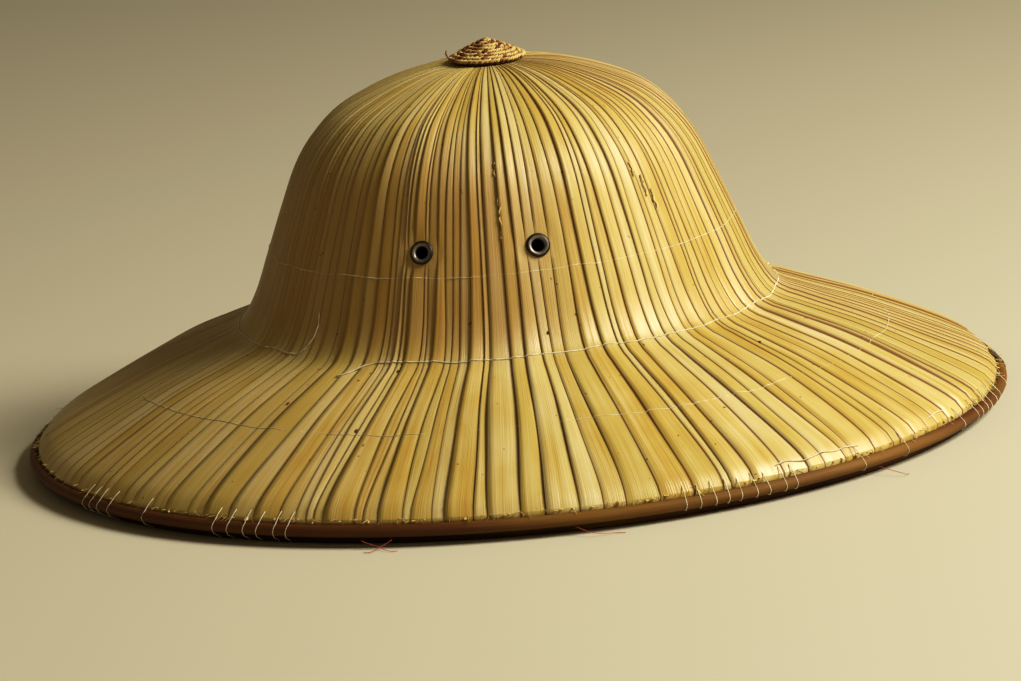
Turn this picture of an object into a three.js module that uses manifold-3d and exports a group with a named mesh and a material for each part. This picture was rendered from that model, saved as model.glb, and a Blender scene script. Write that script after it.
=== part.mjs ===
// A palm-leaf sun helmet: a bell-shaped crown and a sloping oval brim made of radial leaf
// strips, a woven button at the top, two bamboo hoops that clamp the leaf at the rim, and
// a pair of metal vent eyelets on each side.
// Millimetres, +Z up. The origin is the middle of the rim on the table that it rests on,
// the front of the hat is towards -X and the wearer's left side towards -Y.
import * as THREE from "three";
import { mergeVertices } from "three/addons/utils/BufferGeometryUtils.js";
import Module from "manifold-3d";

// Overall sizes
const hatLength = 390; // over the outer hoop, front to back
const hatWidth = 349; // over the outer hoop, side to side
const crownLength = 214; // at the stitched line where the crown meets the brim
const crownWidth = 198;
const crownTop = 147; // the leaf at the centre, above the table
const crownFoot = 50; // the stitched line, above the table
const gap = 0.3; // clearance between neighbouring pieces

// Leaf cover
const leafWall = 1.8; // overlapped strips, all layers together
const lipWall = 1.4; // where the hoops press the layers together
const stripCount = 96;
const stripRelief = 0.75; // how far a strip's upper edge stands over its neighbour
const stripSlope = 0.8; // share of a strip's width over which it dips under the next one
const widthSwing = 0.22; // how much the strips' widths differ, as a share
const widthBeat = 2.4; // radians from one strip to the next in that swing
const innerStep = 2; // strips to each facet of the smooth underside
const leafEdgeHeight = 8.9; // where the leaf turns down between the hoops
const lipDepth = 4.9; // how far it goes down between them

// Rim hoops
const outerHoopThick = 3.7;
const outerHoopTall = 5;
const outerHoopFoot = 3.4; // its underside, above the table
const outerHoopCorners = [-60, -30, 0, 30, 60]; // degrees, round its outside
const underHoopThick = 3.4;
const hoopSegments = 80;
const jointGap = 2.4; // between the outer hoop's two ends, at the back

// Button
const buttonDiameter = 30;
const buttonRise = 8.4; // over the leaf at the centre
const buttonEdge = 1.9; // thickness at its border
const buttonCoils = 5;
const coilRelief = 0.35;
const coilShoulder = 0.35; // share of a coil's width at which it is highest
const buttonSink = 0.3; // share of the strips' relief that the button stands over
const buttonSides = 28;

// Vent eyelets
const eyeletFlange = 9.2; // outer diameter
const eyeletBore = 4.8;
const eyeletMetal = 0.45;
const eyeletCrown = 0.75; // how far the rolled flange stands up
const eyeletSpacing = 44;
const eyeletForward = 9; // how far the middle of each pair is in front of the crown's middle
const eyeletHeight = 88.5; // above the table
const eyeletSides = 16;
const flatNear = 2; // the leaf is pressed flat this far round an eyelet's flange
const flatFar = 6; // and keeps its whole relief further than this from it
const drillLength = 10.8; // of the cutter that makes an eyelet's hole

const mergeDistance = 1e-3; // corners closer than this are one corner

// Sections of the crown, from the centre down to the stitched line. Reach is a share of the
// crown's half-length or half-width, rise a share of its height over the stitched line, and
// relief a share of the strips' relief.
const crownSections = [
  { reach: 0.12, rise: 0.996, relief: 0.1 },
  { reach: 0.27, rise: 0.974, relief: 0.3 },
  { reach: 0.43, rise: 0.918, relief: 0.5 },
  { reach: 0.57, rise: 0.843, relief: 0.6 },
  { reach: 0.67, rise: 0.742, relief: 0.6 },
  { reach: 0.74, rise: 0.628, relief: 0.6 },
  { reach: 0.8, rise: 0.475, relief: 0.6 },
  { reach: 0.87, rise: 0.28, relief: 0.65 },
  { reach: 0.93, rise: 0.115, relief: 0.7 },
];
// Sections of the brim, from the stitched line out to where the leaf turns down. Reach and
// fall are shares of the brim's reach and of its fall.
const brimSections = [
  { reach: 0, fall: 0, relief: 0.8 },
  { reach: 0.13, fall: 0.12, relief: 0.9 },
  { reach: 0.44, fall: 0.36, relief: 1 },
  { reach: 0.78, fall: 0.69, relief: 1 },
  { reach: 0.95, fall: 0.89, relief: 0.7 },
];

const wasm = await Module();
wasm.setup();

// How far a ring's chords dip inside its own radius.
const chordDip = (radius, sides) => radius * (1 - Math.cos(Math.PI / sides));

const outerHoopDip = chordDip(hatLength / 2, hoopSegments);
const leafDip = chordDip(hatLength / 2, stripCount / innerStep);
// Half-length and half-width of the leaf where it goes down between the hoops.
const rimInset = outerHoopThick + gap + outerHoopDip;
const leafEdge = { long: hatLength / 2 - rimInset, wide: hatWidth / 2 - rimInset };

// The leaf's outer sections, from the centre to its lower edge: half-length, half-width,
// height, wall and relief.
function leafSections() {
  const crown = crownSections.map((row) => ({
    long: (row.reach * crownLength) / 2,
    wide: (row.reach * crownWidth) / 2,
    up: crownFoot + row.rise * (crownTop - crownFoot),
    wall: leafWall,
    relief: row.relief * stripRelief,
  }));
  const between = (from, to, share) => from + (to - from) * share;
  const brim = brimSections.map((row) => ({
    long: between(crownLength / 2, leafEdge.long, row.reach),
    wide: between(crownWidth / 2, leafEdge.wide, row.reach),
    up: between(crownFoot, leafEdgeHeight, row.fall),
    wall: leafWall,
    relief: row.relief * stripRelief,
  }));
  const lip = [leafEdgeHeight - lipWall, leafEdgeHeight - lipDepth].map((up) => ({
    ...leafEdge,
    up,
    wall: lipWall,
    relief: 0,
  }));
  return [...crown, ...brim, ...lip];
}

// The outward direction of each section, in the plane of its outline.
function outlineNormals(sections) {
  return sections.map((row, i) => {
    const before = sections[Math.max(i - 1, 0)];
    const after = sections[Math.min(i + 1, sections.length - 1)];
    const run = after.long - before.long;
    const fall = before.up - after.up;
    const size = Math.hypot(run, fall);
    return { out: fall / size, up: run / size };
  });
}

const sections = leafSections();
const normals = outlineNormals(sections);
// The smooth underside: the same sections moved in by the wall.
const underside = sections.map((row, i) => ({
  long: row.long - normals[i].out * row.wall,
  wide: row.wide - normals[i].out * row.wall,
  up: i === sections.length - 1 ? row.up : row.up - normals[i].up * row.wall,
}));

// The height of an outline, a list of sections, at a half-length.
function heightAt(outline, long) {
  const next = outline.findIndex((row) => row.long >= long);
  if (next <= 0) return outline[Math.max(next, 0)].up;
  const [a, b] = [outline[next - 1], outline[next]];
  return a.up + ((b.up - a.up) * (long - a.long)) / (b.long - a.long || 1);
}

// The section of the crown at a height.
function sectionAt(up) {
  const next = sections.findIndex((row) => row.up <= up);
  const [a, b] = [sections[next - 1], sections[next]];
  const share = (a.up - up) / (a.up - b.up);
  const mix = (name) => a[name] + (b[name] - a[name]) * share;
  const [run, fall] = [b.long - a.long, a.up - b.up];
  const size = Math.hypot(run, fall);
  return { long: mix("long"), wide: mix("wide"), out: fall / size, rise: run / size };
}

const onOval = (row, angle, push = 0) =>
  new THREE.Vector3((row.long + push) * Math.cos(angle), (row.wide + push) * Math.sin(angle), row.up);

// A place on the crown's outside and the direction straight out of it.
function eyeletPlace(side, end) {
  const row = sectionAt(eyeletHeight);
  const cos = ((end * eyeletSpacing) / 2 - eyeletForward) / row.long;
  const sin = side * Math.sqrt(1 - cos * cos);
  const place = new THREE.Vector3(row.long * cos, row.wide * sin, eyeletHeight);
  const level = new THREE.Vector3(cos / row.long, sin / row.wide, 0).normalize();
  const outward = level.multiplyScalar(row.out);
  outward.z = row.rise;
  return { place, outward: outward.normalize() };
}

const eyelets = [
  { name: "eyelet_left_front", ...eyeletPlace(-1, -1) },
  { name: "eyelet_left_rear", ...eyeletPlace(-1, 1) },
  { name: "eyelet_right_front", ...eyeletPlace(1, -1) },
  { name: "eyelet_right_rear", ...eyeletPlace(1, 1) },
];

// Where each strip's upper edge lies round the hat. The widths differ a little.
const stripAngle = (strip) =>
  ((strip + widthSwing * Math.sin(widthBeat * (strip % stripCount))) * 2 * Math.PI) / stripCount;

// The share of the relief that is left near an eyelet, whose flange presses the leaf flat.
function reliefLeft(point) {
  const nearest = Math.min(...eyelets.map((eyelet) => eyelet.place.distanceTo(point)));
  return THREE.MathUtils.smoothstep(nearest, eyeletFlange / 2 + flatNear, eyeletFlange / 2 + flatFar);
}

// A BufferGeometry from points and triangles.
function geometryOf(points, faces) {
  return new THREE.BufferGeometry()
    .setAttribute("position", new THREE.Float32BufferAttribute(points.flatMap((p) => p.toArray()), 3))
    .setIndex(faces.flat());
}

// The two triangles of each quad between two closed rings of the same count.
function band(ringA, ringB) {
  return ringA.flatMap((a, i) => {
    const next = (i + 1) % ringA.length;
    return [
      [a, ringB[i], ringB[next]],
      [a, ringB[next], ringA[next]],
    ];
  });
}

// The leaf cover: a sawtooth of overlapped strips outside, a smooth wall inside.
function leafCover() {
  const points = [];
  const add = (point) => points.push(point) - 1;
  const outerRings = sections.map((row, i) => {
    const ring = [];
    for (let strip = 0; strip < stripCount; strip++) {
      const start = stripAngle(strip);
      const end = start + (stripAngle(strip + 1) - start) * stripSlope;
      for (const [angle, lift] of [[start, 1], [end, 0]]) {
        const point = onOval(row, angle);
        const push = lift * row.relief * reliefLeft(point);
        const raised = onOval(row, angle, push * normals[i].out);
        raised.z += push * normals[i].up;
        ring.push(add(raised));
      }
    }
    return ring;
  });
  const innerRings = underside.map((row) => {
    const ring = [];
    for (let strip = 0; strip < stripCount; strip += innerStep)
      ring.push(add(onOval(row, stripAngle(strip))));
    return ring;
  });
  const faces = [];
  for (let i = 1; i < sections.length; i++) {
    faces.push(...band(outerRings[i - 1], outerRings[i]));
    faces.push(...band(innerRings[i], innerRings[i - 1]));
  }
  const top = add(new THREE.Vector3(0, 0, crownTop));
  const ceiling = add(new THREE.Vector3(0, 0, crownTop - leafWall));
  outerRings[0].forEach((a, i, ring) => faces.push([top, a, ring[(i + 1) % ring.length]]));
  innerRings[0].forEach((a, i, ring) => faces.push([ceiling, ring[(i + 1) % ring.length], a]));
  faces.push(...lowerEdge(outerRings.at(-1), innerRings.at(-1)));
  return geometryOf(points, faces);
}

// The cut edge of the leaf, from the fine outer ring to the coarser inner one.
function lowerEdge(outer, inner) {
  const step = outer.length / inner.length;
  return inner.flatMap((a, i) => {
    const b = inner[(i + 1) % inner.length];
    const fan = Array.from({ length: step }, (_, k) => [
      a,
      outer[(i * step + k + 1) % outer.length],
      outer[i * step + k],
    ]);
    return [...fan, [a, b, outer[((i + 1) * step) % outer.length]]];
  });
}

// A BufferGeometry as a manifold-3d solid, and back.
function solidOf(geometry) {
  const bare = geometry.clone();
  for (const name of ["normal", "uv"]) bare.deleteAttribute(name);
  const merged = mergeVertices(bare, mergeDistance);
  return new wasm.Manifold(
    new wasm.Mesh({
      numProp: 3,
      vertProperties: merged.attributes.position.array,
      triVerts: new Uint32Array(merged.index.array),
    }),
  );
}

function geometryOfSolid(solid) {
  const mesh = solid.getMesh();
  return new THREE.BufferGeometry()
    .setAttribute("position", new THREE.BufferAttribute(new Float32Array(mesh.vertProperties), 3))
    .setIndex(new THREE.BufferAttribute(mesh.triVerts, 1));
}

// Turns a geometry made about +Y so that +Y points along a direction at a place.
function standOn(geometry, place, outward) {
  const turn = new THREE.Quaternion().setFromUnitVectors(new THREE.Vector3(0, 1, 0), outward);
  return geometry.applyQuaternion(turn).translate(place.x, place.y, place.z);
}

// The leaf cover with its four vent holes.
function piercedLeaf() {
  const holeRadius = eyeletBore / 2 + eyeletMetal + gap;
  return geometryOfSolid(
    eyelets.reduce((leaf, { place, outward }) => {
      const drill = new THREE.CylinderGeometry(holeRadius, holeRadius, drillLength, eyeletSides);
      return leaf.subtract(solidOf(standOn(drill, place, outward)));
    }, solidOf(leafCover())),
  );
}

// One eyelet about +Y, its zero where the leaf's outside is: a rolled flange outside, the
// barrel through the leaf and a flat flange inside.
function eyelet() {
  const bore = eyeletBore / 2;
  const barrel = bore + eyeletMetal;
  const flange = eyeletFlange / 2;
  const inner = -leafWall - 2 * gap;
  const ridge = (barrel + flange) / 2;
  const profile = [
    [bore, inner - eyeletMetal],
    [ridge, inner - eyeletMetal],
    [ridge, inner],
    [barrel, inner],
    [barrel, gap],
    [flange, gap],
    [flange, gap + eyeletMetal],
    [ridge, gap + eyeletCrown],
    [bore, gap + eyeletMetal],
  ];
  const closed = [...profile, profile[0]].map(([x, y]) => new THREE.Vector2(x, y));
  return new THREE.LatheGeometry(closed, eyeletSides);
}

// A hoop round the rim. The outline is a list of places in its section, each a push out from
// the leaf's edge and a height, anticlockwise. An open hoop leaves an opening at the back.
function hoop(outline, opening = 0) {
  const points = [];
  const start = opening / hatLength;
  const count = opening ? hoopSegments + 1 : hoopSegments;
  const rings = Array.from({ length: count }, (_, i) => {
    const angle = start + ((2 * Math.PI - 2 * start) * i) / hoopSegments;
    return outline.map(([push, up]) => points.push(onOval({ ...leafEdge, up }, angle, push)) - 1);
  });
  const faces = [];
  for (let i = 0; i < hoopSegments; i++)
    faces.push(...band(rings[i], rings[(i + 1) % count]));
  if (opening) {
    const capped = (ring) => ring.slice(2).map((c, i) => [ring[0], ring[i + 1], c]);
    faces.push(...capped(rings[0]), ...capped(rings.at(-1)).map(([a, b, c]) => [a, c, b]));
  }
  return geometryOf(points, faces);
}

// The outer hoop is split bamboo: flat against the leaf and round outside.
function outerHoop() {
  const flat = gap + outerHoopDip;
  const half = outerHoopTall / 2;
  const round = outerHoopCorners.map((turn) => {
    const angle = THREE.MathUtils.degToRad(turn);
    return [flat + outerHoopThick * Math.cos(angle), outerHoopFoot + half + half * Math.sin(angle)];
  });
  const top = [flat, outerHoopFoot + outerHoopTall];
  return hoop([[flat, outerHoopFoot], ...round, top], jointGap);
}

// The under hoop is a flat bamboo band inside the leaf's edge, which the hat rests on. Its
// top is bevelled to the leaf's underside.
function underHoop() {
  const outside = -(lipWall + gap + leafDip);
  const inside = outside - underHoopThick;
  const topAt = (push) => heightAt(underside, leafEdge.long + push) - gap - leafDip;
  return hoop([
    [inside, 0],
    [outside, 0],
    [outside, topAt(outside) - leafDip],
    [inside, topAt(inside)],
  ]);
}

// The woven button: a low cone of coils that sits on the converging strips.
function button() {
  const radius = buttonDiameter / 2;
  const over = stripRelief * buttonSink + gap;
  const seat = (r) => heightAt(sections, r) + over;
  const peak = crownTop + buttonRise;
  const border = seat(radius) + buttonEdge;
  const profile = [
    [0, crownTop + over],
    [radius / 2, seat(radius / 2) + gap],
    [radius, seat(radius)],
  ];
  for (let coil = 0; coil < buttonCoils; coil++) {
    const outer = radius * (1 - coil / buttonCoils);
    const foot = border + ((peak - border) * coil) / buttonCoils;
    const next = border + ((peak - border) * (coil + 1)) / buttonCoils;
    const width = radius / buttonCoils;
    profile.push([outer, foot], [outer - width * coilShoulder, (foot + next) / 2 + coilRelief]);
  }
  profile.push([0, peak]);
  const points = profile.map(([x, z]) => new THREE.Vector2(x, z));
  return new THREE.LatheGeometry(points, buttonSides).rotateX(Math.PI / 2);
}

// Materials
const finish = (color, roughness, metalness = 0) =>
  new THREE.MeshStandardMaterial({ color, roughness, metalness });
const leafFinish = finish("#c9a85a", 0.5);
const paleBamboo = finish("#9a6a35", 0.45);
const darkBamboo = finish("#3b2416", 0.55);
const wovenFinish = finish("#96603a", 0.8);
const agedMetal = finish("#57514a", 0.4, 0.9);

function piece(name, geometry, material) {
  const mesh = new THREE.Mesh(geometry, material);
  mesh.name = name;
  return mesh;
}

const hat = new THREE.Group();
hat.add(
  piece("leaf_cover", piercedLeaf(), leafFinish),
  piece("outer_hoop", outerHoop(), paleBamboo),
  piece("under_hoop", underHoop(), darkBamboo),
  piece("crown_button", button(), wovenFinish),
);
for (const { name, place, outward } of eyelets)
  hat.add(piece(name, standOn(eyelet(), place, outward), agedMetal));

export default hat;
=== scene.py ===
"""A palm-leaf sun helmet that rests on its rim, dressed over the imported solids.

Metres, +Z up. The front of the hat is towards -X and the wearer's left side towards -Y.
"""

import logging
import math
import random
from collections.abc import Callable, Sequence
from dataclasses import dataclass, field
from enum import Enum

import bmesh
import bpy
from mathutils import Matrix, Vector, noise

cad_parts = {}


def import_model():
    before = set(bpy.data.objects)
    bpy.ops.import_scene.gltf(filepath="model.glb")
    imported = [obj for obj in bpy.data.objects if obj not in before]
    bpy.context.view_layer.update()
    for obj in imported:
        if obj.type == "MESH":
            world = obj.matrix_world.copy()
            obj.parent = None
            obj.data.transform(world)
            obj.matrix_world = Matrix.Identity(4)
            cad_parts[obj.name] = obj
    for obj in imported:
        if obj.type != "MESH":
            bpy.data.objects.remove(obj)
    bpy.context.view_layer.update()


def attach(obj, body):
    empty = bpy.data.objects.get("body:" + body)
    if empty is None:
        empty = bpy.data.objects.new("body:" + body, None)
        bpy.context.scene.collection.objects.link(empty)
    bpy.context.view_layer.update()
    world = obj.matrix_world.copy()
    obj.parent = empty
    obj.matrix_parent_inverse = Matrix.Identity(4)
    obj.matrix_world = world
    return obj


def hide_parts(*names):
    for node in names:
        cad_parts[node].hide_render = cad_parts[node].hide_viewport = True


log = logging.getLogger("helmet")

BODY = "root"
FULL_TURN = 2 * math.pi
Colour = tuple[float, float, float]
# Each strand's finish: its name, and its darker and lighter colour.
STRAND_COLOURS: tuple[tuple[str, Colour, Colour], ...] = (
    ("pale_thread", (0.52, 0.46, 0.30), (0.80, 0.74, 0.56)),
    ("dark_strand", (0.05, 0.022, 0.01), (0.16, 0.08, 0.035)),
    ("frayed_leaf", (0.48, 0.33, 0.09), (0.74, 0.58, 0.24)),
    ("brown_scar", (0.06, 0.025, 0.01), (0.14, 0.06, 0.02)),
    ("red_hair", (0.45, 0.08, 0.03), (0.60, 0.14, 0.06)),
    ("stray_strand", (0.25, 0.12, 0.04), (0.50, 0.33, 0.13)),
)
UPRIGHT = Vector((0, 0, 1))


@dataclass(frozen=True)
class HelmetSizes:
    """The sizes that the solids and the pieces here share, in metres."""

    hat_long: float = 0.390
    hat_wide: float = 0.349
    crown_long: float = 0.214
    crown_wide: float = 0.198
    crown_top: float = 0.147
    crown_foot: float = 0.050
    wall: float = 0.0018
    lip_wall: float = 0.0014
    rim_inset: float = 0.00415
    edge_height: float = 0.0089
    lip_foot: float = 0.0040
    hoop_thick: float = 0.0037
    hoop_tall: float = 0.0050
    hoop_foot: float = 0.0034
    eyelet_spacing: float = 0.044
    eyelet_forward: float = 0.009
    eyelet_height: float = 0.0885
    eyelet_flange: float = 0.0092
    eyelet_bore: float = 0.0048

    @property
    def edge_long(self) -> float:
        """Half-length of the leaf where it goes down between the hoops."""
        return self.hat_long / 2 - self.rim_inset

    @property
    def edge_wide(self) -> float:
        """Half-width of the leaf where it goes down between the hoops."""
        return self.hat_wide / 2 - self.rim_inset


@dataclass(frozen=True)
class Station:
    """A place on the leaf's outline: half-length, half-width and height, the direction
    straight out of it, its share of the strips' relief and its distance from the centre."""

    long: float
    wide: float
    up: float
    out: float = 0.0
    rise: float = 1.0
    relief: float = 0.0
    run: float = 0.0

    def at(self, angle: float, push: float = 0.0) -> Vector:
        """A point of the oval at an angle, pushed straight out of the leaf.

        Args:
            angle: radians round the hat.
            push: metres out of the leaf.

        Returns:
            The point.
        """
        reach = push * self.out
        return Vector(
            (
                (self.long + reach) * math.cos(angle),
                (self.wide + reach) * math.sin(angle),
                self.up + push * self.rise,
            )
        )


def between(start: float, end: float, share: float) -> float:
    """The number a share of the way from start to end."""
    return start + (end - start) * share


def smooth_step(value: float, low: float, high: float) -> float:
    """0 below low, 1 above high, and an eased change between."""
    share = min(max((value - low) / (high - low), 0.0), 1.0)
    return share * share * (3 - 2 * share)


class LeafOutline:
    """The outline of the leaf from the centre of the crown to the rim."""

    # Shares of the crown's reach and rise, and of the strips' relief.
    CROWN = (
        (0.12, 0.996, 0.2),
        (0.27, 0.974, 0.42),
        (0.43, 0.918, 0.55),
        (0.57, 0.843, 0.65),
        (0.67, 0.742, 0.65),
        (0.74, 0.628, 0.6),
        (0.80, 0.475, 0.55),
        (0.87, 0.280, 0.55),
        (0.93, 0.115, 0.6),
    )
    # Shares of the brim's reach and fall, and of the strips' relief.
    BRIM = (
        (0.0, 0.0, 0.6),
        (0.13, 0.12, 0.7),
        (0.44, 0.36, 0.8),
        (0.78, 0.69, 0.75),
        (0.95, 0.88, 0.55),
        (1.0, 0.985, 0.25),
    )
    STEPS = 10

    def __init__(self, sizes: HelmetSizes) -> None:
        """Works out the stations.

        Args:
            sizes: the helmet's sizes.
        """
        knots = [Station(0.0, 0.0, sizes.crown_top)]
        rise = sizes.crown_top - sizes.crown_foot
        for reach, height, relief in self.CROWN:
            knots.append(
                Station(
                    reach * sizes.crown_long / 2,
                    reach * sizes.crown_wide / 2,
                    sizes.crown_foot + height * rise,
                    relief=relief,
                )
            )
        for reach, fall, relief in self.BRIM:
            knots.append(
                Station(
                    between(sizes.crown_long / 2, sizes.edge_long, reach),
                    between(sizes.crown_wide / 2, sizes.edge_wide, reach),
                    between(sizes.crown_foot, sizes.edge_height, fall),
                    relief=relief,
                )
            )
        self.stations = self._directed(self._curve(knots))
        self.length = self.stations[-1].run

    def _curve(self, knots: Sequence[Station]) -> list[Station]:
        """A smooth curve through the knots.

        Args:
            knots: the stations it passes through.

        Returns:
            Stations a tenth of a span apart.
        """
        mirrored = Station(-knots[1].long, -knots[1].wide, knots[1].up)
        chain = [mirrored, *knots, knots[-1]]
        curve: list[Station] = []
        for a, b, c, d in zip(chain, chain[1:], chain[2:], chain[3:]):
            for step in range(self.STEPS):
                share = step / self.STEPS
                numbers = [
                    self._spline(share, *(getattr(knot, name) for knot in (a, b, c, d)))
                    for name in ("long", "wide", "up")
                ]
                relief = between(b.relief, c.relief, share)
                curve.append(Station(*numbers, relief=relief))
        return [*curve, knots[-1]]

    @staticmethod
    def _spline(t: float, a: float, b: float, c: float, d: float) -> float:
        """A Catmull-Rom spline's value between b and c."""
        return b + 0.5 * t * (c - a + t * (2 * a - 5 * b + 4 * c - d + t * (3 * (b - c) + d - a)))

    @staticmethod
    def _directed(curve: Sequence[Station]) -> list[Station]:
        """The same stations with their outward directions and distances from the centre.

        Args:
            curve: stations from the centre to the rim.

        Returns:
            New stations in the same order.
        """
        found: list[Station] = []
        run = 0.0
        for i, here in enumerate(curve):
            before, after = curve[max(i - 1, 0)], curve[min(i + 1, len(curve) - 1)]
            along, fall = after.long - before.long, before.up - after.up
            size = math.hypot(along, fall) or 1.0
            if i:
                run += math.hypot(here.long - before.long, here.up - before.up)
            found.append(
                Station(here.long, here.wide, here.up, fall / size, along / size, here.relief, run)
            )
        return found

    def station(self, run: float) -> Station:
        """The station at a distance from the centre.

        Args:
            run: metres along the outline.

        Returns:
            The station there.
        """
        run = min(max(run, 0.0), self.length)
        high = next(i for i, s in enumerate(self.stations) if s.run >= run)
        if high == 0:
            return self.stations[0]
        a, b = self.stations[high - 1], self.stations[high]
        share = (run - a.run) / (b.run - a.run)
        names = ("long", "wide", "up", "out", "rise", "relief")
        return Station(*(between(getattr(a, n), getattr(b, n), share) for n in names), run)

    def run_at_height(self, up: float) -> float:
        """The distance from the centre to where the outline is at a height.

        Args:
            up: the height.

        Returns:
            Metres along the outline.
        """
        for a, b in zip(self.stations, self.stations[1:]):
            if a.up >= up > b.up:
                return between(a.run, b.run, (a.up - up) / (a.up - b.up))
        return self.length


class Layer(Enum):
    """The side of the leaf that a row of the mesh is on."""

    OUTSIDE = "outside"
    LIP = "lip"
    INSIDE = "inside"


class Signal:
    """A number socket of a shader tree that takes part in Python expressions."""

    def __init__(self, tree: "FinishTree", socket: bpy.types.NodeSocket) -> None:
        """Wraps a socket of a tree."""
        self.tree = tree
        self.socket = socket

    def math(self, operation: str, *values: "Signal | float") -> "Signal":
        """The output of a new Math node that takes this signal and the values."""
        return self.tree.math(operation, self, *values)

    def __add__(self, other: "Signal | float") -> "Signal":
        """Sum."""
        return self.math("ADD", other)

    def __radd__(self, other: float) -> "Signal":
        """Sum with a number on the left."""
        return self.tree.math("ADD", other, self)

    def __sub__(self, other: "Signal | float") -> "Signal":
        """Difference."""
        return self.math("SUBTRACT", other)

    def __rsub__(self, other: float) -> "Signal":
        """Difference from a number."""
        return self.tree.math("SUBTRACT", other, self)

    def __mul__(self, other: "Signal | float") -> "Signal":
        """Product."""
        return self.math("MULTIPLY", other)

    def __rmul__(self, other: float) -> "Signal":
        """Product with a number on the left."""
        return self.tree.math("MULTIPLY", other, self)

    def ramp(self, low: float, high: float) -> "Signal":
        """0 below low and 1 above high, or the reverse where low is above high.

        Args:
            low: where the change starts.
            high: where it ends.

        Returns:
            The eased share.
        """
        return self.tree.value(
            "ShaderNodeMapRange",
            {"clamp": True, "interpolation_type": "SMOOTHSTEP"},
            {"Value": self, "From Min": low, "From Max": high},
        )


class FinishTree:
    """A material and the shader tree that dresses a piece."""

    def __init__(self, name: str) -> None:
        """Makes the material with its main shader.

        Args:
            name: the material's name.
        """
        self.material = bpy.data.materials.new(name)
        self.material.use_nodes = True
        self.nodes = self.material.node_tree.nodes
        self.links = self.material.node_tree.links
        self.shader = self.nodes["Principled BSDF"]

    def node(
        self, kind: str, settings: dict[str, object], inputs: dict[str | int, object]
    ) -> bpy.types.Node:
        """A node with its settings and inputs.

        Args:
            kind: the node's type.
            settings: its properties, set first; stops are a colour ramp's.
            inputs: values, signals or sockets by input name or number.

        Returns:
            The node.
        """
        made = self.nodes.new(kind)
        for name, value in settings.items():
            if name == "stops":
                self._set_stops(made, value)
            else:
                setattr(made, name, value)
        for name, value in inputs.items():
            self.put(made.inputs[name], value)
        return made

    @staticmethod
    def _set_stops(node: bpy.types.Node, stops: Sequence[tuple[float, Colour]]) -> None:
        """Gives a colour ramp its stops.

        Args:
            node: the colour ramp.
            stops: positions and colours.
        """
        elements = node.color_ramp.elements
        while len(elements) < len(stops):
            elements.new(0.5)
        for element, (position, colour) in zip(elements, stops):
            element.position = position
            element.color = (*colour, 1.0)

    def put(self, socket: bpy.types.NodeSocket, value: object) -> None:
        """Links or sets an input.

        Args:
            socket: the input.
            value: a signal, a socket, a number, a vector or a colour.
        """
        if isinstance(value, Signal):
            self.links.new(value.socket, socket)
        elif isinstance(value, bpy.types.NodeSocket):
            self.links.new(value, socket)
        elif isinstance(value, tuple) and len(value) == 3 and socket.type == "RGBA":
            socket.default_value = (*value, 1.0)
        else:
            socket.default_value = value

    def value(
        self,
        kind: str,
        settings: dict[str, object],
        inputs: dict[str | int, object],
        output: str | int = 0,
    ) -> Signal:
        """The output of a new node as a signal."""
        return Signal(self, self.node(kind, settings, inputs).outputs[output])

    def math(self, operation: str, *values: Signal | float) -> Signal:
        """The output of a new Math node."""
        return self.value("ShaderNodeMath", {"operation": operation}, dict(enumerate(values)))

    def vector(
        self, x: Signal | float, y: Signal | float, z: Signal | float
    ) -> bpy.types.NodeSocket:
        """A vector from three numbers."""
        return self.node("ShaderNodeCombineXYZ", {}, {0: x, 1: y, 2: z}).outputs[0]

    def noise(self, place: object, scale: float = 1.0, detail: float = 2.0) -> Signal:
        """Noise at a place, about 0.5 on average."""
        inputs = {"Vector": place, "Scale": scale, "Detail": detail}
        return self.value("ShaderNodeTexNoise", {}, inputs, "Fac")

    def scatter(self, number: Signal) -> Signal:
        """A random number from 0 to 1 for each whole number."""
        return self.value("ShaderNodeTexWhiteNoise", {"noise_dimensions": "1D"}, {"W": number})

    def blend(self, share: Signal | float, first: object, second: object) -> bpy.types.NodeSocket:
        """A colour a share of the way from the first to the second."""
        inputs = {"Factor": share, 6: first, 7: second}
        return self.node("ShaderNodeMix", {"data_type": "RGBA"}, inputs).outputs[2]

    def colours(
        self, share: Signal, stops: Sequence[tuple[float, Colour]]
    ) -> bpy.types.NodeSocket:
        """The colour of a ramp at a share."""
        return self.node("ShaderNodeValToRGB", {"stops": stops}, {"Fac": share}).outputs[0]

    def surface_place(self) -> tuple[Signal, Signal]:
        """The two numbers of the piece's own UV map.

        Returns:
            U and V.
        """
        uv = self.node("ShaderNodeUVMap", {"uv_map": "UVMap"}, {})
        parts = self.node("ShaderNodeSeparateXYZ", {}, {0: uv.outputs[0]})
        return Signal(self, parts.outputs[0]), Signal(self, parts.outputs[1])

    def object_place(self) -> bpy.types.NodeSocket:
        """The Object coordinates."""
        return self.node("ShaderNodeTexCoord", {}, {}).outputs["Object"]

    def finish(
        self, colour: object, roughness: object, bump: Signal | None = None, depth: float = 0.0
    ) -> bpy.types.Material:
        """Sets the shader and gives the material.

        Args:
            colour: base colour or its socket.
            roughness: a number or signal.
            bump: height from 0 to 1, if the surface has relief.
            depth: metres from the lowest to the highest.

        Returns:
            The finished material.
        """
        self.put(self.shader.inputs["Base Color"], colour)
        self.put(self.shader.inputs["Roughness"], roughness)
        if bump is not None:
            relief = self.node("ShaderNodeBump", {}, {"Height": bump, "Distance": depth})
            self.put(self.shader.inputs["Normal"], relief.outputs[0])
        return self.material


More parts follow.
